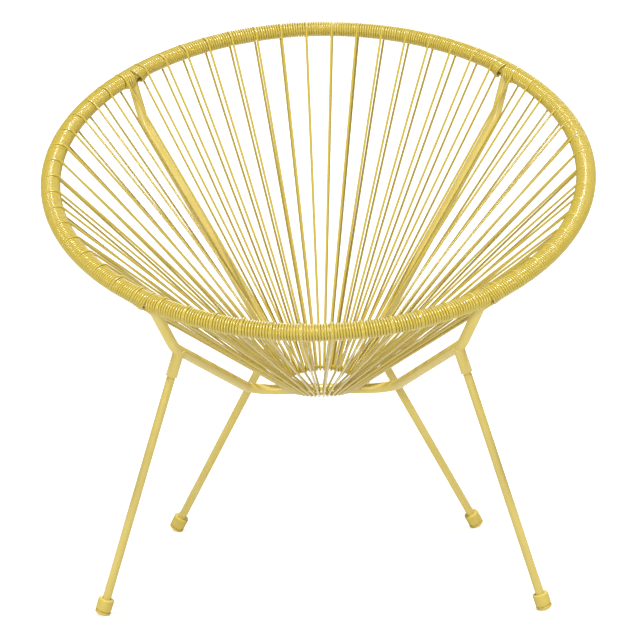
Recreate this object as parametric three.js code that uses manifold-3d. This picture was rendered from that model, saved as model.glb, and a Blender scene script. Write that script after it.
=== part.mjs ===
// An acapulco chair in millimetres, +Z up, with its front towards -Y and the floor at zero.
// An oval steel hoop is wound with plastic cord. At each station the cord leaves the winding,
// runs down to a small hub ring, turns round its rod and comes back under the hoop.
// Two bent steel tubes carry the hoop and the ring, and four screw-in legs carry the tubes.
import * as THREE from 'three';
import { mergeVertices } from 'three/addons/utils/BufferGeometryUtils.js';
import Module from 'manifold-3d';

const wasm = await Module();
wasm.setup();

// Running clearance between two pieces that touch on the real chair, and the overrun of a cut
const clearance = 0.3;
const cutOverrun = 2;

// The hoop: an oval tube bent to a circle, leaning back
const hoopRadius = 357;
const hoopCentreHeight = 556.5;
const hoopTiltDegrees = 25.5;
const hoopTubeWidth = 19.6;
const hoopTubeHeight = 13;

// The cord and its winding
const cordDiameter = 3.2;
const stationCount = 60;
const ribsPerBay = 2;
const ribDepth = 0.9;
const weldMargin = 2.9;

// The hub ring under the seat, measured from the hoop's middle
const ringBack = 20;
const ringDrop = 294;
const ringRodDiameter = 6;
const ringRadius = 52;
const ringTiltDegrees = 7;
const ringPostDiameter = 3;

// The two bent frame tubes. A bay is the space between two stations, and bay numbers count from
// the middle of the front. The front knee and the back shoulder are measured from the junction
// with the hoop: inward, towards the ring and down. The back knee is measured from the ring's
// middle, and the back run from the front run.
const frameTubeDiameter = 14;
const frameTubeWall = 1.5;
const frontJunctionBay = 6;
const frontKneeInset = 26.5;
const frontKneeBack = 45.5;
const frontKneeDrop = 70;
const frontRunHalfSpan = 96;
const frontKneeRadius = 34;
const frontRunRadius = 45;
const backJunctionBay = 22;
const backShoulderInset = 19;
const backShoulderForward = 10.5;
const backShoulderDrop = 68.5;
const backKneeHalfSpan = 69;
const backKneeBack = 80;
const backKneeRise = 34;
const backRunHalfSpan = 58;
const backRunDrop = 3;
const backShoulderRadius = 60;
const backKneeRadius = 45;
const backRunRadius = 22;

// Legs, with their sockets, inserts and foot caps. A front leg stands a little past the knee on
// the tube's lower stretch. A foot is measured from its leg's knee.
const frontLegPastKnee = 15;
const socketDiameter = 15;
const socketReach = 36;
const socketBore = 8.8;
const legDiameter = 11.4;
const legWall = 1.2;
const studDiameter = 8;
const studReach = 17;
const insertPlugLength = 16;
const studChamfer = 1;
const frontFootOut = 107;
const frontFootBack = 22.5;
const backFootOut = 151;
const backFootBack = 90.5;
const footCapDiameter = 21;
const footCapHeight = 21;
const footCapFloor = 5;
const footCapShoulder = 2;
const footCapLip = 1.6;
const footGrooveHeight = 4;
const footGrooveWidth = 1.2;
const footGrooveDepth = 0.7;
const footFlatDepth = 0.9;

// How many faces go round each kind of piece
const ovalSideCount = 8;
const rodSideCount = 6;
const cordSideCount = 5;
const tubeSideCount = 10;
const turnedSideCount = 16;
const ringFacetCount = 48;
const bendStepCount = 4;
const cordTurnStepCount = 3;

// Worked out from the values above
const cordRadius = cordDiameter / 2;
const frameTubeRadius = frameTubeDiameter / 2;
const postSlot = ringPostDiameter + 2 * clearance;
const ringTurnRadius = ringRodDiameter / 2 + clearance + cordRadius;
const ringCordRadius = ringRadius - ringTurnRadius;
const runSpacing = frameTubeDiameter + clearance;
const backRunBack = Math.sqrt(runSpacing ** 2 - backRunDrop ** 2);
const bayAngle = (2 * Math.PI) / stationCount;

const steelPaint = () => new THREE.MeshStandardMaterial({ color: 0xc9a63a, roughness: 0.38, metalness: 0.1 });
const vinylCord = () => new THREE.MeshStandardMaterial({ color: 0xd2b043, roughness: 0.42, metalness: 0 });
const footRubber = () => new THREE.MeshStandardMaterial({ color: 0xcdab40, roughness: 0.5, metalness: 0 });
const zincSteel = () => new THREE.MeshStandardMaterial({ color: 0xb9bcc0, roughness: 0.35, metalness: 1 });

// A tilted circle: its middle, its radius and the three directions of a section at an angle
class TiltedCircle {
  constructor(centre, radius, tiltDegrees) {
    this.centre = centre;
    this.radius = radius;
    this.tilt = THREE.MathUtils.degToRad(tiltDegrees);
    this.normal = new THREE.Vector3(0, -Math.sin(this.tilt), Math.cos(this.tilt));
  }
  outward(angle) {
    const ahead = Math.sin(angle);
    return new THREE.Vector3(Math.cos(angle), ahead * Math.cos(this.tilt), ahead * Math.sin(this.tilt));
  }
  // The point that lies `across` outside the circle and `up` above its plane
  point(angle, across = 0, up = 0, share = 1) {
    const place = this.centre.clone();
    place.addScaledVector(this.outward(angle), (this.radius + across) * share);
    return place.addScaledVector(this.normal, up);
  }
  // The matrix that turns +Y of a lathe to the circle's normal and moves it to the middle
  matrix() {
    const turn = new THREE.Matrix4().makeRotationX(this.tilt + Math.PI / 2);
    return turn.setPosition(this.centre);
  }
}

const hoop = new TiltedCircle(new THREE.Vector3(0, 0, hoopCentreHeight), hoopRadius, hoopTiltDegrees);
const ringMiddle = new THREE.Vector3(0, ringBack, hoopCentreHeight - ringDrop);
const ring = new TiltedCircle(ringMiddle, ringRadius, ringTiltDegrees);

// Stations stand at half numbers, half a bay on each side of the middle of the front, and count
// round to the right
const stationAngle = (station) => station * bayAngle - Math.PI / 2;

// On the ring the cords make a little room on both sides of the two posts
function ringAngle(station) {
  const halfCount = stationCount / 2;
  const slotAngle = postSlot / ringCordRadius;
  const step = (Math.PI - slotAngle) / halfCount;
  const wrapped = ((station + halfCount / 2) % stationCount + stationCount) % stationCount;
  const half = Math.floor(wrapped / halfCount);
  const place = wrapped - half * halfCount;
  return half * Math.PI - Math.PI + slotAngle / 2 + place * step;
}

// A path through listed points with one cross-section at each of them
class PointPath extends THREE.Curve {
  constructor(points) {
    super();
    this.points = points;
  }
  getPoint(share, target = new THREE.Vector3()) {
    const last = this.points.length - 1;
    return target.copy(this.points[Math.round(share * last)]);
  }
  getTangent(share, target = new THREE.Vector3()) {
    const last = this.points.length - 1;
    const at = Math.round(share * last);
    const here = this.points[at];
    const next = this.points[Math.min(at + 1, last)].clone().sub(here).normalize();
    const before = here.clone().sub(this.points[Math.max(at - 1, 0)]).normalize();
    return target.copy(next).add(before).normalize();
  }
  getPointAt(share, target) {
    return this.getPoint(share, target);
  }
  getTangentAt(share, target) {
    return this.getTangent(share, target);
  }
}

function polygon(radius, sides) {
  const corners = [];
  for (let i = 0; i < sides; i += 1) {
    const angle = (2 * Math.PI * i) / sides;
    corners.push(new THREE.Vector2(radius * Math.cos(angle), radius * Math.sin(angle)));
  }
  return corners;
}

// A bar, or a tube where a bore radius is given, along the points
function sweep(points, radius, sides, boreRadius = 0) {
  const shape = new THREE.Shape(polygon(radius, sides));
  if (boreRadius) shape.holes.push(new THREE.Path(polygon(boreRadius, sides)));
  const options = { steps: points.length - 1, extrudePath: new PointPath(points), bevelEnabled: false };
  return new THREE.ExtrudeGeometry(shape, options);
}

// The arc that rounds the corner between two straight stretches
function cornerArc(before, corner, after, radius) {
  const back = before.clone().sub(corner).normalize();
  const on = after.clone().sub(corner).normalize();
  const half = back.angleTo(on) / 2;
  const centre = corner.clone().addScaledVector(back.clone().add(on).normalize(), radius / Math.sin(half));
  const start = corner.clone().addScaledVector(back, radius / Math.tan(half)).sub(centre);
  const end = corner.clone().addScaledVector(on, radius / Math.tan(half)).sub(centre);
  const turn = start.angleTo(end);
  const axis = start.clone().cross(end).normalize();
  const points = [];
  for (let i = 0; i <= bendStepCount; i += 1) {
    points.push(start.clone().applyAxisAngle(axis, (turn * i) / bendStepCount).add(centre));
  }
  return points;
}

function bentRoute(corners, radii) {
  const route = [corners[0]];
  for (let i = 1; i < corners.length - 1; i += 1) {
    route.push(...cornerArc(corners[i - 1], corners[i], corners[i + 1], radii[i - 1]));
  }
  route.push(corners[corners.length - 1]);
  return route;
}

function toSolid(geometry) {
  const plain = geometry.clone();
  plain.deleteAttribute('normal');
  plain.deleteAttribute('uv');
  const merged = mergeVertices(plain);
  const vertProperties = Float32Array.from(merged.attributes.position.array);
  const triVerts = Uint32Array.from(merged.index.array);
  return new wasm.Manifold(new wasm.Mesh({ numProp: 3, vertProperties, triVerts }));
}

function toGeometry(solid) {
  const mesh = solid.getMesh();
  const geometry = new THREE.BufferGeometry();
  geometry.setAttribute('position', new THREE.BufferAttribute(Float32Array.from(mesh.vertProperties), 3));
  geometry.setIndex(new THREE.BufferAttribute(Uint32Array.from(mesh.triVerts), 1));
  geometry.computeVertexNormals();
  return geometry;
}

function cut(geometry, ...cutters) {
  let solid = toSolid(geometry);
  for (const cutter of cutters) solid = solid.subtract(toSolid(cutter));
  return toGeometry(solid);
}

function named(name, geometry, material) {
  const mesh = new THREE.Mesh(geometry, material);
  mesh.name = name;
  return mesh;
}

// The oval section of the hoop, grown by a margin, as corners [across, up]
function ovalCorners(margin) {
  const corners = [];
  for (let i = 0; i < ovalSideCount; i += 1) {
    const angle = (2 * Math.PI * i) / ovalSideCount;
    const across = (hoopTubeWidth / 2 + margin) * Math.cos(angle);
    corners.push([across, (hoopTubeHeight / 2 + margin) * Math.sin(angle)]);
  }
  return corners;
}

// The hoop, or the space it takes with a margin. Its corners round the circle are the stations.
function hoopBody(margin) {
  const profile = ovalCorners(margin).map(([across, up]) => new THREE.Vector2(hoopRadius + across, up));
  profile.push(profile[0].clone());
  const body = new THREE.LatheGeometry(profile, stationCount, bayAngle / 2);
  return body.applyMatrix4(hoop.matrix());
}

function ringBody() {
  const rodCorners = polygon(ringRodDiameter / 2, rodSideCount);
  const profile = rodCorners.map((corner) => corner.setX(corner.x + ringRadius));
  profile.push(profile[0].clone());
  const body = new THREE.LatheGeometry(profile, ringFacetCount);
  return body.applyMatrix4(ring.matrix());
}

// Between two stations the faceted hoop lies a little inside its circle, by this share
function facetShare(angle) {
  const bay = (angle + Math.PI / 2) / bayAngle;
  const offMiddle = bay - Math.round(bay);
  return Math.cos(bayAngle / 2) / Math.cos(offMiddle * bayAngle);
}

function sectionRing(angle, margin) {
  return ovalCorners(margin).map(([across, up]) => hoop.point(angle, across, up, facetShare(angle)));
}

// Joins rings of points, the last to the first, to one closed surface
function skinThrough(rings) {
  const count = rings[0].length;
  const positions = rings.flat().flatMap((corner) => corner.toArray());
  const index = [];
  rings.forEach((_, i) => {
    const here = i * count;
    const next = ((i + 1) % rings.length) * count;
    for (let j = 0; j < count; j += 1) {
      const k = (j + 1) % count;
      index.push(here + j, next + j, next + k, here + j, next + k, here + k);
    }
  });
  const geometry = new THREE.BufferGeometry();
  geometry.setAttribute('position', new THREE.Float32BufferAttribute(positions, 3));
  geometry.setIndex(index);
  return geometry;
}

// The winding between two angles: a ribbed sleeve round the hoop, a clearance off it
function windingSleeve(from, to) {
  const crest = clearance + cordDiameter;
  const ribCount = Math.max(1, Math.round(((to - from) / bayAngle) * ribsPerBay));
  const ribStep = (to - from) / ribCount;
  const rings = [sectionRing(from, crest - ribDepth)];
  for (let i = 0; i < ribCount; i += 1) {
    rings.push(sectionRing(from + (i + 1 / 2) * ribStep, crest));
    rings.push(sectionRing(from + (i + 1) * ribStep, crest - ribDepth));
  }
  rings.push(sectionRing(to, clearance));
  const firstStation = Math.round((from + Math.PI / 2) / bayAngle) + 1 / 2;
  const lastStation = Math.round((to + Math.PI / 2) / bayAngle) - 1 / 2;
  for (let station = lastStation; station >= firstStation; station -= 1) {
    rings.push(sectionRing(stationAngle(station), clearance));
  }
  rings.push(sectionRing(from, clearance));
  return skinThrough(rings);
}

// The point of an ellipse, in a section plane, whose tangent is square to a direction
function supportPoint(direction, halfWidth, halfHeight) {
  const wide = direction.x * halfWidth;
  const high = direction.y * halfHeight;
  const length = Math.hypot(wide, high);
  return new THREE.Vector2((wide * halfWidth) / length, (high * halfHeight) / length);
}

// One station's cord: off the top of the winding, round the ring's rod, back under the hoop
function strandRoute(station) {
  const hoopAngle = stationAngle(station);
  const turnAngle = ringAngle(station);
  const run = ring.point(turnAngle).sub(hoop.point(hoopAngle)).normalize();
  const overHoop = sectionNormal(run, hoop, hoopAngle);
  const layer = clearance + cordRadius;
  const off = supportPoint(overHoop, hoopTubeWidth / 2 + layer, hoopTubeHeight / 2 + layer);
  const route = [hoop.point(hoopAngle, off.x, off.y)];
  const overRing = sectionNormal(run, ring, turnAngle);
  const step = Math.PI / cordTurnStepCount;
  for (let i = 0; i < cordTurnStepCount; i += 1) {
    const corner = overRing.clone().rotateAround(new THREE.Vector2(), (i + 1 / 2) * step);
    corner.multiplyScalar(ringTurnRadius / Math.cos(step / 2));
    route.push(ring.point(turnAngle, corner.x, corner.y));
  }
  route.push(hoop.point(hoopAngle, -off.x, -off.y));
  return route;
}

// The direction square to a run, inward and up, in the section plane of a circle
function sectionNormal(run, circle, angle) {
  const across = run.dot(circle.outward(angle));
  const up = run.dot(circle.normal);
  return new THREE.Vector2(up, -across).normalize();
}

// Stations `first` to `last` with their winding, as one cord-work piece
function cordSector(first, last, from, to) {
  let solid = toSolid(windingSleeve(from, to));
  for (let station = first; station <= last; station += 1) {
    solid = solid.add(toSolid(sweep(strandRoute(station), cordRadius, cordSideCount)));
  }
  return toGeometry(solid);
}

// The winding stops on both sides of a welded tube, and sectors meet between two stations
const weldHalfAngle = (frameTubeRadius + weldMargin) / hoopRadius;
const seamHalfAngle = clearance / 2 / hoopRadius;
const frontArc = { name: 'front', start: -frontJunctionBay, sizes: [4, 4, 4] };
const rightArc = { name: 'right', start: frontJunctionBay, sizes: [5, 6, 5] };
const backArc = { name: 'back', start: backJunctionBay, sizes: [5, 6, 5] };
const leftArc = { name: 'left', start: stationCount - backJunctionBay, sizes: [5, 6, 5] };

function arcSectors(arc) {
  const meshes = [];
  let bay = arc.start;
  arc.sizes.forEach((size, i) => {
    const startGap = i === 0 ? weldHalfAngle : seamHalfAngle;
    const endGap = i === arc.sizes.length - 1 ? weldHalfAngle : seamHalfAngle;
    const from = stationAngle(bay) + startGap;
    const to = stationAngle(bay + size) - endGap;
    const sector = cordSector(bay + 1 / 2, bay + size - 1 / 2, from, to);
    meshes.push(named(`seat_cord_${arc.name}_${i + 1}`, sector, vinylCord()));
    bay += size;
  });
  return meshes;
}

// A corner of a run tube. The front run passes square under the ring with the cords between them.
function runPlace(halfSpan, back, drop) {
  const below = ringRodDiameter / 2 + 2 * clearance + cordDiameter + frameTubeRadius;
  const underMiddle = ring.point(Math.PI / 2, -ringRadius, -below);
  return underMiddle.add(new THREE.Vector3(halfSpan, back, -drop));
}

function mirrored(corners) {
  const other = corners.map((corner) => corner.clone().setX(-corner.x)).reverse();
  return [...corners, ...other];
}

const frontJunction = hoop.point(stationAngle(frontJunctionBay));
const frontKnee = new THREE.Vector3(-frontKneeInset, frontKneeBack, -frontKneeDrop).add(frontJunction);
const backJunction = hoop.point(stationAngle(backJunctionBay));
const shoulderOffset = new THREE.Vector3(-backShoulderInset, -backShoulderForward, -backShoulderDrop);
const backShoulder = shoulderOffset.add(backJunction);
const backKnee = new THREE.Vector3(backKneeHalfSpan, backKneeBack, backKneeRise).add(ringMiddle);
const frontCorners = mirrored([
  frontJunction,
  frontKnee,
  runPlace(frontRunHalfSpan, 0, 0),
]);
const backCorners = mirrored([
  backJunction,
  backShoulder,
  backKnee,
  runPlace(backRunHalfSpan, backRunBack, backRunDrop),
]);
const frontRadii = [frontKneeRadius, frontRunRadius, frontRunRadius, frontKneeRadius];
const backHalfRadii = [backShoulderRadius, backKneeRadius, backRunRadius];
const backRadii = [...backHalfRadii, ...[...backHalfRadii].reverse()];

function frameTube(corners, radii) {
  const bore = frameTubeRadius - frameTubeWall;
  const tube = sweep(bentRoute(corners, radii), frameTubeRadius, tubeSideCount, bore);
  return cut(tube, hoopBody(clearance));
}

// The outside of a frame tube grown by the clearance, which copes what is welded against it
function tubeSpace(corners, radii) {
  return sweep(bentRoute(corners, radii), frameTubeRadius + clearance, tubeSideCount);
}

function turned(profile) {
  const corners = profile.map(([radius, height]) => new THREE.Vector2(radius, height));
  const geometry = new THREE.LatheGeometry(corners, turnedSideCount);
  return geometry.rotateX(Math.PI / 2);
}

// A post between the ring's rod and the front run, square to the ring, on one side
function ringPost(side) {
  const length = cordDiameter;
  const middle = -ringRodDiameter / 2 - clearance - length / 2;
  const post = new THREE.CylinderGeometry(ringPostDiameter / 2, ringPostDiameter / 2, length, ovalSideCount);
  const mesh = named(side > 0 ? 'ring_post_right' : 'ring_post_left', post, steelPaint());
  mesh.position.copy(ring.point(side > 0 ? 0 : Math.PI, 0, middle));
  mesh.rotation.x = ring.tilt + Math.PI / 2;
  return mesh;
}

// A leg's frame: origin on the tube's centre line, -Z along the leg to the foot
function legFrame(top, foot) {
  const down = foot.clone().sub(top).normalize();
  const group = new THREE.Group();
  group.position.copy(top);
  group.quaternion.setFromUnitVectors(new THREE.Vector3(0, 0, -1), down);
  const capRadius = footCapDiameter / 2;
  const slant = Math.acos(-down.z);
  const reach = (top.z - capRadius * Math.sin(slant) + footFlatDepth) / Math.cos(slant);
  group.updateMatrix();
  return { group, reach };
}

// The socket: a sleeve welded under the knee, bored for the leg's stud
function legSocket(frame, tubeCutter) {
  const outer = socketDiameter / 2;
  const bore = socketBore / 2;
  const body = turned([
    [bore, -socketReach],
    [outer, -socketReach],
    [outer, 0],
    [bore, 0],
    [bore, -socketReach],
  ]);
  const cutter = tubeCutter.clone().applyMatrix4(frame.group.matrix.clone().invert());
  return cut(body, cutter, tubeTop());
}

// What would stand above the frame tube's centre line is cut away
function tubeTop() {
  const blockSize = socketDiameter + cutOverrun;
  const block = new THREE.BoxGeometry(blockSize, blockSize, blockSize);
  return block.translate(0, 0, blockSize / 2);
}

// The insert: a plug in the leg's top end with a threaded stud that screws into the socket
function legInsert() {
  const stud = studDiameter / 2;
  const plug = legDiameter / 2 - legWall - clearance;
  const shoulder = -socketReach - clearance;
  const top = shoulder + studReach;
  return turned([
    [0, shoulder - insertPlugLength],
    [plug, shoulder - insertPlugLength],
    [plug, shoulder],
    [stud, shoulder],
    [stud, top - studChamfer],
    [stud - studChamfer, top],
    [0, top],
  ]);
}

function legTube(reach) {
  const outer = legDiameter / 2;
  const inner = outer - legWall;
  const top = -socketReach - clearance;
  const bottom = -reach + footCapFloor + clearance;
  return turned([[inner, bottom], [outer, bottom], [outer, top], [inner, top], [inner, bottom]]);
}

function footCap(frame) {
  const radius = footCapDiameter / 2;
  const bore = legDiameter / 2 + clearance;
  const base = -frame.reach;
  const grooveFloor = base + footGrooveHeight;
  const top = base + footCapHeight;
  const body = turned([
    [0, base],
    [radius, base],
    [radius, grooveFloor],
    [radius - footGrooveDepth, grooveFloor],
    [radius - footGrooveDepth, grooveFloor + footGrooveWidth],
    [radius, grooveFloor + footGrooveWidth],
    [radius, top - footCapShoulder],
    [bore + footCapLip, top],
    [bore, top],
    [bore, base + footCapFloor],
    [0, base + footCapFloor],
  ]);
  const blockSize = footCapDiameter + footCapHeight;
  const floorBlock = new THREE.BoxGeometry(blockSize, blockSize, blockSize);
  const under = frame.group.localToWorld(new THREE.Vector3(0, 0, base));
  floorBlock.translate(under.x, under.y, -blockSize / 2);
  return cut(body, floorBlock.applyMatrix4(frame.group.matrix.clone().invert()));
}

function legAssembly(corner, top, foot, tubeCutter) {
  const frame = legFrame(top, foot);
  frame.group.updateMatrixWorld();
  frame.group.add(named(`leg_socket_${corner}`, legSocket(frame, tubeCutter), steelPaint()));
  frame.group.add(named(`leg_insert_${corner}`, legInsert(), zincSteel()));
  frame.group.add(named(`leg_${corner}`, legTube(frame.reach), steelPaint()));
  frame.group.add(named(`foot_cap_${corner}`, footCap(frame), footRubber()));
  return frame.group;
}

const chair = new THREE.Group();
chair.add(named('rim_hoop', hoopBody(0), steelPaint()));
chair.add(named('hub_ring', ringBody(), steelPaint()));
chair.add(named('front_frame_tube', frameTube(frontCorners, frontRadii), steelPaint()));
chair.add(named('back_frame_tube', frameTube(backCorners, backRadii), steelPaint()));
chair.add(ringPost(1), ringPost(-1));
for (const arc of [frontArc, rightArc, backArc, leftArc]) chair.add(...arcSectors(arc));

const frontRun = frontCorners[2];
const frontLegTop = frontKnee.clone();
frontLegTop.addScaledVector(frontRun.clone().sub(frontKnee).normalize(), frontLegPastKnee);
const frontCutter = tubeSpace(frontCorners, frontRadii);
const backCutter = tubeSpace(backCorners, backRadii);
for (const [side, sign] of [['left', -1], ['right', 1]]) {
  const toSide = new THREE.Vector3(sign, 1, 1);
  const frontFoot = new THREE.Vector3(frontFootOut, frontFootBack, 0).add(frontKnee).setZ(0).multiply(toSide);
  const backFoot = new THREE.Vector3(backFootOut, backFootBack, 0).add(backKnee).setZ(0).multiply(toSide);
  chair.add(legAssembly(`front_${side}`, frontLegTop.clone().multiply(toSide), frontFoot, frontCutter));
  chair.add(legAssembly(`back_${side}`, backKnee.clone().multiply(toSide), backFoot, backCutter));
}

export default chair;
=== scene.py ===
import math

import bpy
import numpy as np
from mathutils import Matrix, Vector


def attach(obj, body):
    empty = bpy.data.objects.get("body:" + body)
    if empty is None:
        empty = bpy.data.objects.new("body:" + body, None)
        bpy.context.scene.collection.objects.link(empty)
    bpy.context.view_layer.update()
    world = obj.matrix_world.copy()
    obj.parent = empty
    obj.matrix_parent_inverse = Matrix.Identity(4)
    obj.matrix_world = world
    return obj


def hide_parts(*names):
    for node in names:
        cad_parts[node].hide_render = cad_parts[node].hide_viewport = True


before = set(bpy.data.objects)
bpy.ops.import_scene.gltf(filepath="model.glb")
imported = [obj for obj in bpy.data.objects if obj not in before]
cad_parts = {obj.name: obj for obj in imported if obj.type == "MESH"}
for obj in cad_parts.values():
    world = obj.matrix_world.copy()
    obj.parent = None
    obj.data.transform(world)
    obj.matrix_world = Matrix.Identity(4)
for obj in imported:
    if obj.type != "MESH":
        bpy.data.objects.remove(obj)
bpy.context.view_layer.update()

# The hoop and the hub ring, as the CAD model has them
HOOP_MIDDLE = np.array([0, 0, 0.5565])
HOOP_RADIUS = 0.357
HOOP_TILT = math.radians(25.5)
HOOP_TUBE_WIDTH = 0.0196
HOOP_TUBE_HEIGHT = 0.013
RING_MIDDLE = np.array([0, 0.020, 0.2625])
RING_RADIUS = 0.052
RING_TILT = math.radians(7)
RING_ROD_RADIUS = 0.003
RING_POST_SLOT = 0.0036

# The cord and how it is wound. A station is a place where strands leave the hoop, and a bay is the
# space between two stations. Bay numbers count from the middle of the front.
CORD_RADIUS = 0.00165
CORD_CLEARANCE = 0.0003
STATION_COUNT = 60
TURNS_PER_BAY = 10.5

# The angle by which the winding is turned round the hoop's section, and the shift in turns that
# brings each strand to its station
START_PHASE = math.radians(65)
STATION_SHIFT = 0.465

# How far the cord rises off the winding before a strand leaves it, and over what part of a turn
STRAND_LIFT = 0.0018
STRAND_RISE = 0.36

# Unevenness: the winding's turns along the hoop and off it, and the strands along the ring
TURN_WAVER = 0.00008
HEIGHT_WAVER = 0.00004
WAVER_RATES = (0.61, 1.37, 2.9)
RING_WAVER = 0.0002

# The two bent frame tubes. The cord has its room between the ring's rod and the front run, and
# the back run lies behind the front run.
TUBE_RADIUS = 0.007
CORD_ROOM = 0.0032
FRONT_BAY = 6
FRONT_KNEE_OFFSET = np.array([-0.0265, 0.0455, -0.070])
FRONT_RUN_HALF_SPAN = 0.096
FRONT_BEND_RADII = [0.034, 0.045]
BACK_BAY = 22
BACK_SHOULDER_OFFSET = np.array([-0.019, -0.0105, -0.0685])
BACK_KNEE_OFFSET = np.array([0.069, 0.080, 0.034])
BACK_RUN_HALF_SPAN = 0.058
BACK_BEND_RADII = [0.060, 0.045, 0.022]
BACK_RUN_DROP = 0.003
RUN_GAP = 0.0003

# Where the winding passes a welded tube: how far it opens, over what length it closes again,
# how much of a turn is cut off beside the tube, and how far the nearest turns climb over the weld
WELD_OPENING = TUBE_RADIUS + CORD_RADIUS
WELD_REACH = 0.12
CUT_END = 0.02
WELD_CLIMB = 0.004
WELD_CLIMB_LENGTH = 0.012

# Each leg: its welded socket, its tube with a neck under the socket, and its foot cap
SOCKET_RADIUS = 0.0075
SOCKET_BORE_RADIUS = 0.0044
SOCKET_REACH = 0.036
SOCKET_GAP = 0.0003
LEG_RADIUS = 0.0057
LEG_WALL = 0.0012
LEG_NECK_RADIUS = 0.0047
LEG_NECK_HEIGHT = 0.0018
CAP_RADIUS = 0.0105
CAP_GAP = 0.0003
CAP_LIP = 0.0016
CAP_FLOOR = 0.005
CAP_GROOVE_HEIGHT = 0.004
CAP_GROOVE_WIDTH = 0.0016
CAP_GROOVE_DEPTH = 0.0012
CORNERS = ["front_left", "front_right", "back_left", "back_right"]

# Rounded edges: of the caps, of cut tube ends, and of the finest corners
CAP_EDGE = 0.0018
TUBE_EDGE = 0.0006
FINE_EDGE = 0.0003

# Weld beads: how far from the joint the search for its seam starts and how often it is halved, and
# how the bead's radius ripples along the seam
WELD_BEAD_RADIUS = 0.0014
WELD_START = 0.03
WELD_HALVINGS = 24
RIPPLE_LENGTH = 0.0018
RIPPLE_SHARE = 0.06

# How finely the pieces are divided
CORD_SIDES = 10
SAMPLES_PER_TURN = 24
SAMPLES_ROUND_ROD = 7
HOOP_SECTIONS = 248
HOOP_SIDES = 20
RING_SECTIONS = 96
RING_SIDES = 12
TUBE_SIDES = 28
CAP_SIDES = 40
BEAD_SECTIONS = 96
BEAD_SIDES = 10

# The camera of the photo: where it stands round the chair, and its focal length in pixels of a
# picture of the given side
IMAGE_SIDE = 634
CAMERA_AZIMUTH = math.radians(1.03)
CAMERA_ELEVATION = math.radians(12)
CAMERA_ROLL = math.radians(-1.02)
CAMERA_DISTANCE = 3.632
CAMERA_TARGET = Vector((-0.0048, 0, 0.3540))
CAMERA_FOCAL_PIXELS = 2685
SENSOR_WIDTH = 36

BAY_ANGLE = 2 * math.pi / STATION_COUNT
PITCH = HOOP_RADIUS * BAY_ANGLE / TURNS_PER_BAY
WINDING_WIDTH = HOOP_TUBE_WIDTH / 2 + CORD_CLEARANCE + CORD_RADIUS
WINDING_HEIGHT = HOOP_TUBE_HEIGHT / 2 + CORD_CLEARANCE + CORD_RADIUS
ROD_TURN_RADIUS = RING_ROD_RADIUS + CORD_CLEARANCE + CORD_RADIUS
RING_CORD_RADIUS = RING_RADIUS - ROD_TURN_RADIUS


class TiltedCircle:
    """A circle that leans back by an angle, with the directions of its section at each place."""

    def __init__(self, middle, radius, tilt):
        self.middle = middle
        self.radius = radius
        self.tilt = tilt
        self.normal = np.array([0, -math.sin(tilt), math.cos(tilt)])

    def outward(self, angle):
        """The direction (cos a, sin a cos tilt, sin a sin tilt)."""
        ahead = np.sin(angle)
        return np.stack([np.cos(angle), ahead * math.cos(self.tilt), ahead * math.sin(self.tilt)], -1)

    def point(self, angle, across=0.0, up=0.0):
        """The middle, plus outward times (radius + across), plus the normal times up."""
        reach = np.asarray(self.radius + across)[..., None]
        return self.middle + self.outward(angle) * reach + np.asarray(up)[..., None] * self.normal


HOOP = TiltedCircle(HOOP_MIDDLE, HOOP_RADIUS, HOOP_TILT)
RING = TiltedCircle(RING_MIDDLE, RING_RADIUS, RING_TILT)


def station_angle(station):
    """Stations stand at half numbers, on both sides of the front's middle, and count to the right."""
    return station * BAY_ANGLE - math.pi / 2


def ring_angle(station):
    """The same on the ring, where the cords make room for the two posts at left and right."""
    half = STATION_COUNT / 2
    slot = RING_POST_SLOT / RING_CORD_RADIUS
    wrapped = (station + half / 2) % STATION_COUNT
    side = wrapped // half
    return (side - 1) * math.pi + slot / 2 + (wrapped - side * half) * (math.pi - slot) / half


def unit(vectors):
    """Each vector divided by its length."""
    return vectors / np.linalg.norm(vectors, axis=-1, keepdims=True)


def new_piece(name, points, faces, material, replaces=(), uv=None, sharp_angle=40):
    """A finished piece: its mesh, smooth but for edges past the angle, riding on the chair."""
    mesh = bpy.data.meshes.new(name)
    mesh.from_pydata(np.asarray(points).reshape(-1, 3), [], faces)
    if uv is not None:
        layer = mesh.uv_layers.new(name="along_and_round")
        layer.data.foreach_set("uv", np.asarray(uv, np.float32).ravel())
    mesh.shade_smooth()
    mesh.set_sharp_from_angle(angle=math.radians(sharp_angle))
    mesh.materials.append(material)
    piece = bpy.data.objects.new(name, mesh)
    bpy.context.scene.collection.objects.link(piece)
    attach(piece, "root")
    if replaces:
        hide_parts(*replaces)
    return piece


def grid_faces(rows, columns, close_rows=False, close_columns=True):
    """Quads between neighbours of a grid whose corner (i, j) is number i * columns + j."""
    i = np.arange(rows if close_rows else rows - 1)[:, None]
    j = np.arange(columns if close_columns else columns - 1)[None, :]
    below, right = (i + 1) % rows, (j + 1) % columns
    here = i * columns
    quads = [here + j, here + right, below * columns + right, below * columns + j]
    return np.stack(np.broadcast_arrays(*quads), -1).reshape(-1, 4)


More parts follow.
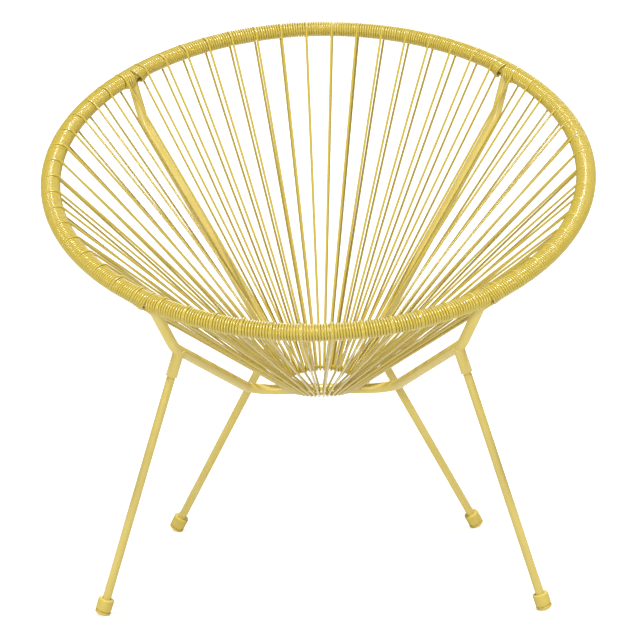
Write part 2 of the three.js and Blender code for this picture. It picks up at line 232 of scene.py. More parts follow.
def swept(path, normals, radii, sides):
    """A round bar: at each path point a circle of its radius, square to the path's direction.

    Corner j of section i is path + radius * (N cos a + B sin a), with a = 2 pi j / sides, N the
    given normal made square to the direction T, and B = T x N. Both ends are closed flat.
    The map gives each corner its length along the path and its way round the bar, in metres.
    """
    along = unit(np.gradient(path, axis=0))
    normals = unit(normals - along * np.sum(normals * along, -1, keepdims=True))
    sideways = np.cross(along, normals)
    turn = 2 * math.pi * np.arange(sides) / sides
    radii = np.broadcast_to(radii, len(path))[:, None, None]
    ring = normals[:, None] * np.cos(turn)[:, None] + sideways[:, None] * np.sin(turn)[:, None]
    points = (path[:, None] + radii * ring).reshape(-1, 3)
    quads = grid_faces(len(path), sides)
    last = (len(path) - 1) * sides
    caps = [list(range(sides))[::-1], [last + j for j in range(sides)]]
    steps = np.linalg.norm(np.diff(path, axis=0), axis=-1)
    length = np.concatenate([[0], np.cumsum(steps)])
    round_step = 2 * math.pi * float(radii.mean()) / sides
    i, j = np.divmod(np.arange((len(path) - 1) * sides), sides)
    u = np.stack([length[i], length[i], length[i + 1], length[i + 1]], -1)
    v = np.stack([j, j + 1, j + 1, j], -1) * round_step
    cap_uv = np.zeros((2 * sides, 2))
    uv = np.concatenate([np.stack([u, v], -1).reshape(-1, 2), cap_uv])
    return points, quads.tolist() + caps, uv


def waver(turns, size, seed):
    """A slow unevenness: half the sum of three sines, two to ten turns long, times the size."""
    phases = np.random.default_rng(seed).uniform(0, 2 * math.pi, 3)
    waves = [np.sin(turns * rate + phase) for rate, phase in zip(WAVER_RATES, phases)]
    return size * np.sum(waves, 0) / 2


def section_normal(run, circle, angle):
    """The direction square to a run, inward and up, as (across, up) in a circle's section."""
    square = np.array([run @ circle.normal, -(run @ circle.outward(angle))])
    return unit(square)


def tube_phase(bay, leaving):
    """Round which side of the hoop's section a welded tube leaves it."""
    return math.atan2(leaving @ HOOP.normal, leaving @ HOOP.outward(station_angle(bay)))


def opened_for_tube(place, turns, phase, split_turn, tube):
    """Moves the winding along the hoop so that it stands open where a tube is welded on.

    Beside the tube a turn at distance d from the split goes to opening + d (1 - opening / reach),
    so that it is back in place at the reach. A weight of ((1 + cos a) / 2) ** 1.5, with a the angle
    between the turn and the tube, fades the move out round the section.
    """
    distance = PITCH * (turns - split_turn)
    share = np.clip(np.abs(distance) / WELD_REACH, 0, 1)
    opened = WELD_OPENING + np.abs(distance) * (1 - WELD_OPENING / WELD_REACH)
    target = np.sign(distance) * opened - STATION_SHIFT * PITCH * share
    weight = ((1 + np.cos(phase - tube)) / 2) ** 1.5
    return np.where(share < 1, place + weight * (target - place), place), weight


def winding(turns, belts, first_bay, bays, tubes, seed, lift=0.0):
    """The cord's centre line and its outward normal at turn numbers of one arc of the hoop.

    The place along the hoop grows by a pitch a turn, and the section angle by a full circle:
    (width cos t, height sin t) in the section, with t = the start phase + pi (2 turns + belts - 1).
    A belt goes half round the hoop without going on along it. A lift raises the cord outward.
    """
    phase = START_PHASE + math.pi * (2 * turns + belts - 1)
    place = PITCH * (turns - STATION_SHIFT) + waver(turns, TURN_WAVER, seed)
    last_turn = bays * TURNS_PER_BAY
    place, near_start = opened_for_tube(place, turns, phase, 0, tubes[0])
    rest, near_end = opened_for_tube(place - PITCH * last_turn, turns, phase, last_turn, tubes[1])
    place = rest + PITCH * last_turn
    climb = near_start * np.exp(-((PITCH * turns / WELD_CLIMB_LENGTH) ** 2))
    climb += near_end * np.exp(-((PITCH * (last_turn - turns) / WELD_CLIMB_LENGTH) ** 2))
    grown = 1 + (WELD_CLIMB * climb + waver(turns, HEIGHT_WAVER, seed + 1)) / WINDING_HEIGHT
    angle = station_angle(first_bay) + place / HOOP_RADIUS
    across = (WINDING_WIDTH * grown + lift) * np.cos(phase)
    up = (WINDING_HEIGHT * grown + lift) * np.sin(phase)
    facing = unit(np.stack([np.cos(phase) / WINDING_WIDTH, np.sin(phase) / WINDING_HEIGHT], -1))
    normal = HOOP.outward(angle) * facing[:, :1] + HOOP.normal * facing[:, 1:]
    return HOOP.point(angle, across, up), normal


def rod_turn(station, over_ring, shift):
    """The half turn round the ring's rod, from the upper strand's end to the lower one's start."""
    start = math.atan2(over_ring[1], over_ring[0])
    turn = start + np.linspace(0, math.pi, SAMPLES_ROUND_ROD)
    angle = ring_angle(station) + shift / RING_CORD_RADIUS
    across, up = ROD_TURN_RADIUS * np.cos(turn), ROD_TURN_RADIUS * np.sin(turn)
    normal = RING.outward(angle) * np.cos(turn)[:, None] + RING.normal * np.sin(turn)[:, None]
    return RING.point(np.full(len(turn), angle), across, up), normal


def cord_arc(first_bay, bays, tubes, seed):
    """One arc's cord in a single line: turns round the hoop, and at each station a belt.

    The belt rises off the winding over the last part of a turn, leaves it where its tangent points
    at the ring, goes straight there, turns round the rod, and comes straight back to the opposite
    side of the winding. It leaves beside its station: at (belts + 1/2) bays and a quarter turn the
    section angle is whole circles past the start phase, and the rest of the way from there to the
    tangent's angle is part of a turn.
    """
    random = np.random.default_rng(seed)
    points, normals = [], []
    turns_done = CUT_END
    width, height = WINDING_WIDTH + STRAND_LIFT, WINDING_HEIGHT + STRAND_LIFT
    for belts in range(bays):
        station = first_bay + belts + 0.5
        hoop_angle = station_angle(station)
        run = unit(RING.point(ring_angle(station)) - HOOP.point(hoop_angle))
        over = section_normal(run, HOOP, hoop_angle)
        leaves = math.atan2(over[1] * height, over[0] * width)
        leaving_turn = (belts + 0.5) * TURNS_PER_BAY + 0.25 + (leaves - START_PHASE) / (2 * math.pi)
        count = round((leaving_turn - turns_done) * SAMPLES_PER_TURN)
        turns = np.linspace(turns_done, leaving_turn, count)
        rising = np.clip(1 - (leaving_turn - turns) / STRAND_RISE, 0, 1)
        lift = STRAND_LIFT * rising**2 * (3 - 2 * rising)
        wound, facing = winding(turns, belts, first_bay, bays, tubes, seed, lift)
        over_ring = section_normal(run, RING, ring_angle(station))
        shift = random.uniform(-RING_WAVER, RING_WAVER)
        round_rod, rod_facing = rod_turn(station, over_ring, shift)
        points += [wound, round_rod]
        normals += [facing, rod_facing]
        turns_done = leaving_turn
    last_turn = bays * TURNS_PER_BAY - CUT_END
    count = round((last_turn - turns_done) * SAMPLES_PER_TURN)
    turns = np.linspace(turns_done, last_turn, count)
    wound, facing = winding(turns, bays, first_bay, bays, tubes, seed)
    return np.concatenate([*points, wound]), np.concatenate([*normals, facing])


def with_strand_points(path, normals, gap=0.03, step=0.06):
    """Adds points at most a step apart to each straight stretch of a path longer than the gap."""
    lengths = np.linalg.norm(np.diff(path, axis=0), axis=-1)
    extra = np.where(lengths > gap, np.ceil(lengths / step).astype(int), 1)
    starts = np.repeat(np.arange(len(extra)), extra)
    first = np.concatenate([[0], np.cumsum(extra)[:-1]])
    share = (np.arange(extra.sum()) - np.repeat(first, extra)) / np.repeat(extra, extra)
    share = share[:, None]
    full = path[starts] * (1 - share) + path[starts + 1] * share
    facing = normals[starts] * (1 - share) + normals[starts + 1] * share
    return np.concatenate([full, path[-1:]]), np.concatenate([facing, normals[-1:]])


def rounded_route(corners, radii, step=0.002):
    """Straight stretches between corners, each corner rounded by an arc of its own radius.

    The arc's middle lies on the bisector, at radius / sin(half the corner's angle), and its
    points turn from one straight stretch to the other about the axis square to both.
    """
    route = [corners[:1]]
    for before, corner, after, radius in zip(corners, corners[1:], corners[2:], radii):
        back, on = unit(before - corner), unit(after - corner)
        half = math.acos(float(back @ on)) / 2
        middle = corner + unit(back + on) * radius / math.sin(half)
        start = corner + back * radius / math.tan(half) - middle
        axis = unit(np.cross(start, corner + on * radius / math.tan(half) - middle))
        sweep_angle = math.pi - 2 * half
        turn = np.linspace(0, sweep_angle, max(4, math.ceil(radius * sweep_angle / step)))[:, None]
        route.append(middle + start * np.cos(turn) + np.cross(axis, start) * np.sin(turn))
    route.append(corners[-1:])
    return np.concatenate(route)


def mirrored(corners):
    """The right half's corners, followed by their mirror images in reverse."""
    return np.concatenate([corners, (corners * [-1, 1, 1])[::-1]])


def run_place(half_span, back, drop):
    """A corner of a run. The front run passes square under the ring, with the cords between."""
    below = RING_ROD_RADIUS + 2 * CORD_CLEARANCE + CORD_ROOM + TUBE_RADIUS
    return RING_MIDDLE - below * RING.normal + [half_span, back, -drop]


FRONT_JUNCTION = HOOP.point(station_angle(FRONT_BAY))
FRONT_KNEE = FRONT_JUNCTION + FRONT_KNEE_OFFSET
BACK_JUNCTION = HOOP.point(station_angle(BACK_BAY))
BACK_SHOULDER = BACK_JUNCTION + BACK_SHOULDER_OFFSET
BACK_KNEE = RING_MIDDLE + BACK_KNEE_OFFSET
FRONT_RUN = run_place(FRONT_RUN_HALF_SPAN, 0, 0)
FRONT_CORNERS = mirrored(np.array([FRONT_JUNCTION, FRONT_KNEE, FRONT_RUN]))
BACK_RUN_BACK = math.sqrt((2 * TUBE_RADIUS + RUN_GAP) ** 2 - BACK_RUN_DROP**2)
BACK_RUN = run_place(BACK_RUN_HALF_SPAN, BACK_RUN_BACK, BACK_RUN_DROP)
BACK_CORNERS = mirrored(np.array([BACK_JUNCTION, BACK_SHOULDER, BACK_KNEE, BACK_RUN]))
FRONT_ROUTE = rounded_route(FRONT_CORNERS, FRONT_BEND_RADII + FRONT_BEND_RADII[::-1])
BACK_ROUTE = rounded_route(BACK_CORNERS, BACK_BEND_RADII + BACK_BEND_RADII[::-1])


def srgb(colour):
    """A hex colour as Blender's linear numbers."""
    shares = np.array([int(colour[i : i + 2], 16) for i in (1, 3, 5)]) / 255
    linear = np.where(shares <= 0.04045, shares / 12.92, ((shares + 0.055) / 1.055) ** 2.4)
    return (*linear.tolist(), 1.0)


def socket(sockets, key):
    """A node's socket by its number or its identifier."""
    return next(s for i, s in enumerate(sockets) if key in (i, s.identifier))


def add_node(tree, kind, settings=None, inputs=None, links=None):
    """Adds a node, sets its properties and sockets, and links sockets to (node, output)."""
    node = tree.nodes.new(kind)
    for name, value in (settings or {}).items():
        setattr(node, name, value)
    for key, value in (inputs or {}).items():
        socket(node.inputs, key).default_value = value
    for key, (source, output) in (links or {}).items():
        tree.links.new(socket(source.outputs, output), socket(node.inputs, key))
    return node


def two_tones(tree, factor, dark, light):
    """A colour that a factor takes from one tone to the other."""
    return add_node(tree, "ShaderNodeMix", {"data_type": "RGBA"},
                    {"A_Color": srgb(dark), "B_Color": srgb(light)}, {"Factor_Float": factor})


def new_material(name):
    """A named material with an empty node tree."""
    material = bpy.data.materials.new(name)
    material.use_nodes = True
    material.node_tree.nodes.clear()
    return material, material.node_tree


def powder_coated_steel():
    """Polyester powder coat baked on steel tube: satin gloss over a fine orange peel."""
    material, tree = new_material("golden_powder_coated_steel")
    place = add_node(tree, "ShaderNodeTexCoord")
    # Film thickness drifts over about 30 mm, which shifts the tone a little
    drift = add_node(tree, "ShaderNodeTexNoise", inputs={"Scale": 1 / 0.030, "Detail": 2},
                     links={"Vector": (place, "Object")})
    tone = two_tones(tree, (drift, "Fac"), "#DAC362", "#E5D076")
    # Orange peel is about 1.5 mm from hump to hump and some 0.02 mm deep
    peel = add_node(tree, "ShaderNodeTexNoise", inputs={"Scale": 1 / 0.0015, "Detail": 1},
                    links={"Vector": (place, "Object")})
    bump = add_node(tree, "ShaderNodeBump", inputs={"Strength": 0.35, "Distance": 0.00006},
                    links={"Height": (peel, "Fac")})
    shader = add_node(tree, "ShaderNodeBsdfPrincipled",
                      inputs={"Roughness": 0.33, "Coat Weight": 0.3, "Coat Roughness": 0.18},
                      links={"Base Color": (tone, "Result_Color"), "Normal": (bump, "Normal")})
    add_node(tree, "ShaderNodeOutputMaterial", links={"Surface": (shader, "BSDF")})
    return material


def vinyl_cord():
    """Extruded soft PVC cord: satin gloss with narrow highlights and fine die lines along it."""
    material, tree = new_material("golden_extruded_vinyl_cord")
    place = add_node(tree, "ShaderNodeTexCoord")
    # The tone drifts along the cord over about 150 mm
    stretch = add_node(tree, "ShaderNodeMapping", inputs={"Scale": (1 / 0.150, 1, 1)},
                       links={"Vector": (place, "UV")})
    drift = add_node(tree, "ShaderNodeTexNoise", inputs={"Scale": 1, "Detail": 3},
                     links={"Vector": (stretch, "Vector")})
    tone = two_tones(tree, (drift, "Fac"), "#C9AF38", "#DBC552")
    # Die lines are about 0.4 mm apart round the cord and run on for some 40 mm
    lines = add_node(tree, "ShaderNodeMapping", inputs={"Scale": (1 / 0.040, 1 / 0.0004, 1)},
                     links={"Vector": (place, "UV")})
    die = add_node(tree, "ShaderNodeTexNoise", inputs={"Scale": 1, "Detail": 1},
                   links={"Vector": (lines, "Vector")})
    bump = add_node(tree, "ShaderNodeBump", inputs={"Strength": 0.1, "Distance": 0.00002},
                    links={"Height": (die, "Fac")})
    # The real cord has no clear coat, which stands here for its narrow bright highlights
    gloss = {"Roughness": 0.3, "IOR": 1.53, "Coat Weight": 1, "Coat Roughness": 0.12}
    shader = add_node(tree, "ShaderNodeBsdfPrincipled", inputs=gloss,
                      links={"Base Color": (tone, "Result_Color"), "Normal": (bump, "Normal")})
    add_node(tree, "ShaderNodeOutputMaterial", links={"Surface": (shader, "BSDF")})
    return material


def moulded_foot_plastic():
    """Injection-moulded polyethylene: a fine spark-eroded grain that leaves it nearly matt."""
    material, tree = new_material("golden_moulded_polyethylene")
    place = add_node(tree, "ShaderNodeTexCoord")
    cloud = add_node(tree, "ShaderNodeTexNoise", inputs={"Scale": 1 / 0.012, "Detail": 2},
                     links={"Vector": (place, "Object")})
    tone = two_tones(tree, (cloud, "Fac"), "#D2B955", "#DDC765")
    # The grain is about 0.5 mm from pit to pit
    grain = add_node(tree, "ShaderNodeTexNoise", inputs={"Scale": 1 / 0.0005, "Detail": 2},
                     links={"Vector": (place, "Object")})
    bump = add_node(tree, "ShaderNodeBump", inputs={"Strength": 0.4, "Distance": 0.00008},
                    links={"Height": (grain, "Fac")})
    shader = add_node(tree, "ShaderNodeBsdfPrincipled", inputs={"Roughness": 0.48},
                      links={"Base Color": (tone, "Result_Color"), "Normal": (bump, "Normal")})
    add_node(tree, "ShaderNodeOutputMaterial", links={"Surface": (shader, "BSDF")})
    return material


def zinc_plated_steel():
    """Turned steel with bright zinc plating: metallic, with a cloudy passivated gloss."""
    material, tree = new_material("zinc_plated_turned_steel")
    place = add_node(tree, "ShaderNodeTexCoord")
    cloud = add_node(tree, "ShaderNodeTexNoise", inputs={"Scale": 1 / 0.004, "Detail": 3},
                     links={"Vector": (place, "Object")})
    tone = two_tones(tree, (cloud, "Fac"), "#B4B8BC", "#C9CBC8")
    shader = add_node(tree, "ShaderNodeBsdfPrincipled", inputs={"Roughness": 0.35, "Metallic": 1},
                      links={"Base Color": (tone, "Result_Color")})
    add_node(tree, "ShaderNodeOutputMaterial", links={"Surface": (shader, "BSDF")})
    return material


STEEL = powder_coated_steel()
CORD = vinyl_cord()
PLASTIC = moulded_foot_plastic()
ZINC = zinc_plated_steel()


def carried_round(circle, half_width, half_height, sections, sides):
    """A section of (half width cos t, half height sin t) carried once round a tilted circle."""
    angle = np.linspace(0, 2 * math.pi, sections, endpoint=False)[:, None]
    phase = np.linspace(0, 2 * math.pi, sides, endpoint=False)[None, :]
    across = half_width * np.cos(phase)
    up = half_height * np.sin(phase)
    points = circle.point(*np.broadcast_arrays(angle, across, up))
    faces = grid_faces(sections, sides, close_rows=True)[:, ::-1]
    return points, faces.tolist()


def build_hoop():
    """The hoop: an oval tube, with half the tube's width and height as its section."""
    points, faces = carried_round(HOOP, HOOP_TUBE_WIDTH / 2, HOOP_TUBE_HEIGHT / 2,
                                  HOOP_SECTIONS, HOOP_SIDES)
    new_piece("rim_hoop_oval_tube", points, faces, STEEL, ["rim_hoop"])


def build_ring():
    """The hub ring: a round rod, with its radius both ways as its section."""
    points, faces = carried_round(RING, RING_ROD_RADIUS, RING_ROD_RADIUS, RING_SECTIONS, RING_SIDES)
    new_piece("hub_ring_round_rod", points, faces, STEEL, ["hub_ring"])


def build_cord():
    """The seat cord in four lengths, from one welded tube to the next."""
    front_tube = tube_phase(FRONT_BAY, unit(FRONT_KNEE_OFFSET))
    back_tube = tube_phase(BACK_BAY, unit(BACK_SHOULDER_OFFSET))
    side_bays = BACK_BAY - FRONT_BAY
    back_bays = STATION_COUNT - 2 * BACK_BAY
    arcs = [
        ("front", -FRONT_BAY, 2 * FRONT_BAY, (front_tube, front_tube)),
        ("left", FRONT_BAY, side_bays, (front_tube, back_tube)),
        ("back", BACK_BAY, back_bays, (back_tube, back_tube)),
        ("right", STATION_COUNT - BACK_BAY, side_bays, (back_tube, front_tube)),
    ]
    for seed, (side, first_bay, bays, tubes) in enumerate(arcs, 1):
        path, normals = with_strand_points(*cord_arc(first_bay, bays, tubes, 10 * seed))
        # The cord was wound round to the left, so each arc is the mirror image of its line
        points, faces, uv = swept(path * [-1, 1, 1], normals * [-1, 1, 1], CORD_RADIUS, CORD_SIDES)
        nodes = [f"seat_cord_{side}_{part}" for part in (1, 2, 3)]
        new_piece(f"seat_cord_{side}", points, faces, CORD, nodes, uv, sharp_angle=70)


def build_tubes():
    """The two bent tubes, each a round section along its rounded route.

    Each table row has the piece's name, its route, a direction across it and the CAD node.
    """
    tubes = [
        ("front_frame_bent_tube", FRONT_ROUTE, (0, 0.4, 0.9), "front_frame_tube"),
        ("back_frame_bent_tube", BACK_ROUTE, (0, 0.9, -0.4), "back_frame_tube"),
    ]
    for name, route, across, node in tubes:
        normals = np.broadcast_to(unit(np.array(across, float)), route.shape)
        points, faces, uv = swept(route, normals, TUBE_RADIUS, TUBE_SIDES)
        new_piece(name, points, faces, STEEL, [node], uv)


def turned(profile, sides, axis_start, axis_end):
    """A turned piece: its profile of (radius, height) spun round an axis in space.

    Heights are measured from the axis's start towards its end. A profile that starts and ends on
    the axis is closed there by one vertex, and any other profile closes on itself.
    """
    along = unit(axis_end - axis_start)
    first = unit(np.cross(along, [0.0, 1.0, 0.0]))
    second = np.cross(along, first)
    turn = 2 * math.pi * np.arange(sides) / sides
    around = first * np.cos(turn)[:, None] + second * np.sin(turn)[:, None]
    profile = np.asarray(profile, float)
    solid = profile[0, 0] == 0
    rings = profile[1:-1] if solid else profile
    points = rings[:, :1, None] * around + (axis_start + rings[:, 1:] * along)[:, None]
    points = points.reshape(-1, 3)
    faces = grid_faces(len(rings), sides, close_rows=not solid)
    if not solid:
        return points, faces.tolist()
    poles = axis_start + profile[[0, -1], 1:] * along
    j = np.arange(sides)
    start, last = len(points), (len(rings) - 1) * sides
    bottom = np.stack([np.full(sides, start), (j + 1) % sides, j], -1)
    top = np.stack([np.full(sides, start + 1), last + j, last + (j + 1) % sides], -1)
    return np.concatenate([points, poles]), faces.tolist() + bottom.tolist() + top.tolist()


def fillet(corner, radius, start_degrees, steps=4):
    """A quarter circle of (radius, height) points round a corner's inner middle."""
    turn = np.radians(start_degrees + np.linspace(0, 90, steps + 1))
    return [(corner[0] + radius * math.cos(a), corner[1] + radius * math.sin(a)) for a in turn]


def node_points(name):
    """The corners of a CAD node's mesh as an array."""
    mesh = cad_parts[name].data
    flat = np.empty(len(mesh.vertices) * 3)
    mesh.vertices.foreach_get("co", flat)
    return flat.reshape(-1, 3)


def leg_axis(corner):
    """The middle points of a leg tube's bottom and top, from its CAD node's longest direction."""
    points = np.unique(node_points(f"leg_{corner}").round(6), axis=0)
    middle = points.mean(0)
    along = np.linalg.svd(points - middle, full_matrices=False)[2][0]
    along = along * np.sign(along[2])
    reach = (points - middle) @ along
    return middle + along * reach.min(), middle + along * reach.max()


def route_distance(points, route):
    """How far each point is from the nearest stretch of a route."""
    start, step = route[:-1], np.diff(route, axis=0)
    away = points[:, None] - start
    share = np.clip(np.sum(away * step, -1) / np.sum(step * step, -1), 0, 1)
    return np.linalg.norm(away - share[..., None] * step, axis=-1).min(1)


def where_it_meets(starts, direction, inside):
    """Halves the stretch between outside and inside until each line's meeting point is found.

    A line that passes beside the other piece ends at its reach, level with that piece's middle.
    """
    low, high = np.zeros(len(starts)), np.full(len(starts), WELD_START)
    for _ in range(WELD_HALVINGS):
        middle = (low + high) / 2
        reached = inside(starts + middle[:, None] * direction)
        high, low = np.where(reached, middle, high), np.where(reached, low, middle)
    return starts + high[:, None] * direction


def weld_bead(name, axis_start, direction, radius, inside):
    """A bead where a round piece meets another: a small round section carried along the seam.

    The seam is where lines along the piece's surface first come inside the other. The bead's
    radius ripples where each puddle of weld metal set: radius (1 + share sin(2 pi n s)), with s
    the share of the seam's length and n a whole number of ripples.
    """
    first = unit(np.cross(direction, [0.0, 1.0, 0.3]))
    second = np.cross(direction, first)
    turn = np.linspace(0, 2 * math.pi, BEAD_SECTIONS + 1)[:-1, None]
    around = first * np.cos(turn) + second * np.sin(turn)
    seam = where_it_meets(axis_start + radius * around, direction, inside)
    along = unit(np.roll(seam, -1, 0) - np.roll(seam, 1, 0))
    sideways = np.cross(along, around)
    length = np.cumsum(np.linalg.norm(seam - np.roll(seam, 1, 0), axis=-1))
    ripples = round(length[-1] / RIPPLE_LENGTH)
    wave = np.sin(2 * math.pi * ripples * length / length[-1])
    size = WELD_BEAD_RADIUS * (1 + RIPPLE_SHARE * wave)
    spin = 2 * math.pi * np.arange(BEAD_SIDES) / BEAD_SIDES
    ring = around[:, None] * np.cos(spin)[:, None] + sideways[:, None] * np.sin(spin)[:, None]
    points = seam[:, None] + size[:, None, None] * ring
    faces = grid_faces(BEAD_SECTIONS, BEAD_SIDES, close_rows=True)
    new_piece(name, points, faces.tolist(), STEEL, sharp_angle=80)


def inside_hoop(points):
    """Whether points lie inside the oval of the hoop: (across / width)^2 + (up / height)^2 < 1."""
    away = points - HOOP_MIDDLE
    up = away @ HOOP.normal
    across = np.linalg.norm(away - up[:, None] * HOOP.normal, axis=-1) - HOOP_RADIUS
    return (across / (HOOP_TUBE_WIDTH / 2)) ** 2 + (up / (HOOP_TUBE_HEIGHT / 2)) ** 2 < 1


def build_welds():
    """Beads where the four tube ends meet the hoop."""
    ends = [
        ("front", FRONT_JUNCTION, FRONT_KNEE_OFFSET),
        ("back", BACK_JUNCTION, BACK_SHOULDER_OFFSET),
    ]
    for end, junction, leaving in ends:
        for side, mirror in (("right", 1), ("left", -1)):
            flip = np.array([mirror, 1, 1])
            start = (junction + WELD_START * unit(leaving)) * flip
            inward = -unit(leaving * flip)
            weld_bead(f"hoop_weld_{end}_{side}", start, inward, TUBE_RADIUS, inside_hoop)


def build_leg(corner):
    """One leg: its welded socket, its tube and its foot cap, round the CAD leg's own axis."""
    bottom, top = leg_axis(corner)
    down = unit(bottom - top)
    knee = top - down * (SOCKET_REACH + SOCKET_GAP)
    sleeve = [(SOCKET_BORE_RADIUS, 0), (SOCKET_RADIUS, 0)]
    sleeve += fillet((SOCKET_RADIUS - TUBE_EDGE, SOCKET_REACH - TUBE_EDGE), TUBE_EDGE, 0)
    sleeve += [(SOCKET_BORE_RADIUS, SOCKET_REACH)]
    points, faces = turned(sleeve, TUBE_SIDES, knee, bottom)
    new_piece(f"leg_socket_{corner}_sleeve", points, faces, STEEL,
              [f"leg_socket_{corner}"])
    length = np.linalg.norm(bottom - top)
    bore = LEG_RADIUS - LEG_WALL
    tube = [(bore, 0), (LEG_NECK_RADIUS, 0), (LEG_NECK_RADIUS, LEG_NECK_HEIGHT)]
    tube += fillet((LEG_RADIUS - FINE_EDGE, LEG_NECK_HEIGHT + FINE_EDGE), FINE_EDGE, -90)
    tube += fillet((LEG_RADIUS - TUBE_EDGE, length - TUBE_EDGE), TUBE_EDGE, 0) + [(bore, length)]
    points, faces = turned(tube, TUBE_SIDES, top, bottom)
    new_piece(f"leg_{corner}_tube", points, faces, STEEL, [f"leg_{corner}"])
    build_cap(corner, bottom, down)
    route = FRONT_ROUTE if corner.startswith("front") else BACK_ROUTE
    weld_bead(f"socket_weld_{corner}", knee + WELD_START * down, -down, SOCKET_RADIUS,
              lambda p: route_distance(p, route) < TUBE_RADIUS)


def build_cap(corner, leg_end, down):
    """The foot cap: a turned cup with rounded edges and a groove, worn flat where it stands."""
    along = node_points(f"foot_cap_{corner}") @ down
    top_height = along.min() - leg_end @ down
    base_height = along.max() - leg_end @ down
    start = leg_end + down * top_height
    height = base_height - top_height
    bore = LEG_RADIUS + CAP_GAP
    inner = CAP_RADIUS - CAP_GROOVE_DEPTH
    fine = CAP_RADIUS - FINE_EDGE
    soft = CAP_RADIUS - CAP_EDGE
    groove_end = height - CAP_GROOVE_HEIGHT
    groove_start = groove_end - CAP_GROOVE_WIDTH
    outside = [(bore, 0), (bore + CAP_LIP, 0)] + fillet((soft, CAP_EDGE), CAP_EDGE, -90)
    outside += [(CAP_RADIUS, groove_start - FINE_EDGE), (fine, groove_start)]
    outside += [(inner, groove_start), (inner, groove_end), (fine, groove_end)]
    outside += [(CAP_RADIUS, groove_end + FINE_EDGE)]
    outside += fillet((soft, height - CAP_EDGE), CAP_EDGE, 0)
    profile = [(0, height - CAP_FLOOR), (bore, height - CAP_FLOOR)] + outside + [(0, height)]
    points, faces = turned(profile, CAP_SIDES, start, start + down)
    points[:, 2] = np.maximum(points[:, 2], 0)
    new_piece(f"foot_cap_{corner}_moulded", points, faces, PLASTIC,
              [f"foot_cap_{corner}"])


def refinished(name, material):
    """A CAD node that keeps its shape and gets its real finish."""
    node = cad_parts[name]
    node.data.materials.clear()
    node.data.materials.append(material)
    return node


def dress_cad_nodes():
    """The small hidden pieces stay as the CAD model has them: painted posts, plated inserts."""
    for name in ["ring_post_left", "ring_post_right"]:
        node = refinished(name, STEEL)
    for corner in CORNERS:
        node = refinished(f"leg_insert_{corner}", ZINC)


def plain_floor():
    """A pale studio floor: a glow that only the camera sees makes it white."""
    material, tree = new_material("pale_studio_floor")
    path = add_node(tree, "ShaderNodeLightPath")
    glow_strength = 0.62
    seen = add_node(tree, "ShaderNodeMath", {"operation": "MULTIPLY"}, {1: glow_strength},
                    {0: (path, "Is Camera Ray")})
    paint = add_node(tree, "ShaderNodeBsdfDiffuse", inputs={"Color": srgb("#E0E0DE")})
    glow = add_node(tree, "ShaderNodeEmission", links={"Strength": (seen, 0)})
    both = add_node(tree, "ShaderNodeAddShader", links={0: (paint, "BSDF"), 1: (glow, "Emission")})
    add_node(tree, "ShaderNodeOutputMaterial", links={"Surface": (both, "Shader")})
    mesh = bpy.data.meshes.new("studio_floor")
    reach = 16.0
    corners = [(-reach, -reach, 0), (reach, -reach, 0), (reach, reach, 0), (-reach, reach, 0)]
    mesh.from_pydata(corners, [], [(0, 1, 2, 3)])
    mesh.materials.append(material)
    floor = bpy.data.objects.new("studio_floor", mesh)
    bpy.context.scene.collection.objects.link(floor)


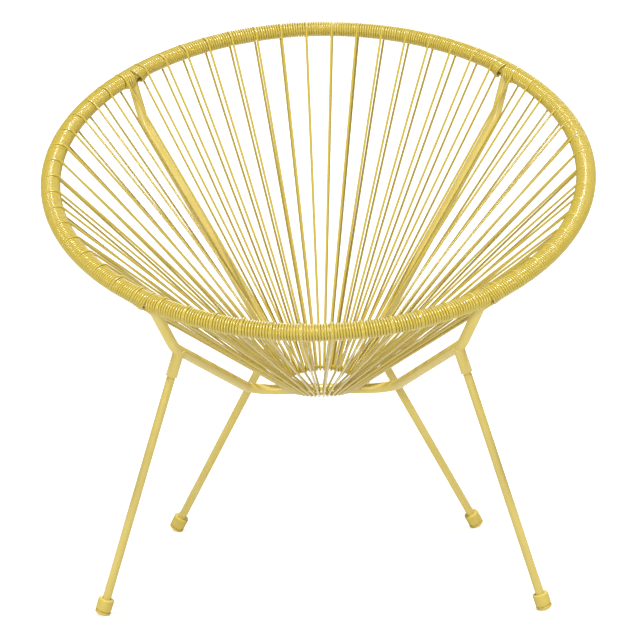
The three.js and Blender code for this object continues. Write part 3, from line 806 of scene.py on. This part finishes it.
def light_the_room():
    """Soft light: an even pale room, a lamp overhead, and broad ones in front and behind."""
    world = bpy.data.worlds.new("pale_room")
    bpy.context.scene.world = world
    world.use_nodes = True
    tree = world.node_tree
    tree.nodes.clear()
    path = add_node(tree, "ShaderNodeLightPath")
    seen = add_node(tree, "ShaderNodeMath", {"operation": "MAXIMUM"},
                    links={0: (path, "Is Camera Ray"), 1: (path, "Is Transmission Ray")})
    room = add_node(tree, "ShaderNodeBackground", inputs={"Color": srgb("#F6F6F4"), "Strength": 0.27})
    white = add_node(tree, "ShaderNodeBackground", inputs={"Color": srgb("#FFFFFF"), "Strength": 1})
    mixed = add_node(tree, "ShaderNodeMixShader",
                     links={0: (seen, 0), 1: (room, "Background"), 2: (white, "Background")})
    add_node(tree, "ShaderNodeOutputWorld", links={"Surface": (mixed, "Shader")})
    # Each lamp's name, the place it shines from, its strength and its spread in degrees
    lamps = [
        ("overhead_lamp", (0.05, -0.4, 2.6), 2.7, 6),
        ("front_lamp", (-0.3, -2.4, 0.8), 1.05, 14),
        ("back_lamp", (0.8, 2.4, 1.2), 0.9, 40),
    ]
    for name, place, strength, spread in lamps:
        lamp = bpy.data.lights.new(name, "SUN")
        lamp.energy = strength
        lamp.angle = math.radians(spread)
        stand = bpy.data.objects.new(name, lamp)
        stand.location = place
        stand.rotation_euler = (-Vector(place)).to_track_quat("-Z", "Y").to_euler()
        bpy.context.scene.collection.objects.link(stand)


def place_camera():
    """The photo's camera: back from the target along its azimuth and elevation, then rolled."""
    azimuth, elevation = CAMERA_AZIMUTH, CAMERA_ELEVATION
    level = math.cos(elevation)
    back = Vector((math.sin(azimuth) * level, -math.cos(azimuth) * level, math.sin(elevation)))
    right = (-back).cross(Vector((0, 0, 1))).normalized()
    up = right.cross(-back)
    rolled_right = right * math.cos(CAMERA_ROLL) + up * math.sin(CAMERA_ROLL)
    rolled_up = up * math.cos(CAMERA_ROLL) - right * math.sin(CAMERA_ROLL)
    camera = bpy.data.objects.new("photo_camera", bpy.data.cameras.new("photo_camera"))
    camera.data.sensor_width = SENSOR_WIDTH
    camera.data.lens = CAMERA_FOCAL_PIXELS / IMAGE_SIDE * SENSOR_WIDTH
    place = Matrix((rolled_right, rolled_up, back)).transposed().to_4x4()
    place.translation = CAMERA_TARGET + back * CAMERA_DISTANCE
    camera.matrix_world = place
    bpy.context.scene.collection.objects.link(camera)
    bpy.context.scene.camera = camera


build_hoop()
build_ring()
build_cord()
build_tubes()
build_welds()
for leg_corner in CORNERS:
    build_leg(leg_corner)
dress_cad_nodes()
plain_floor()
light_the_room()
place_camera()
bpy.context.scene.view_settings.view_transform = "Standard"
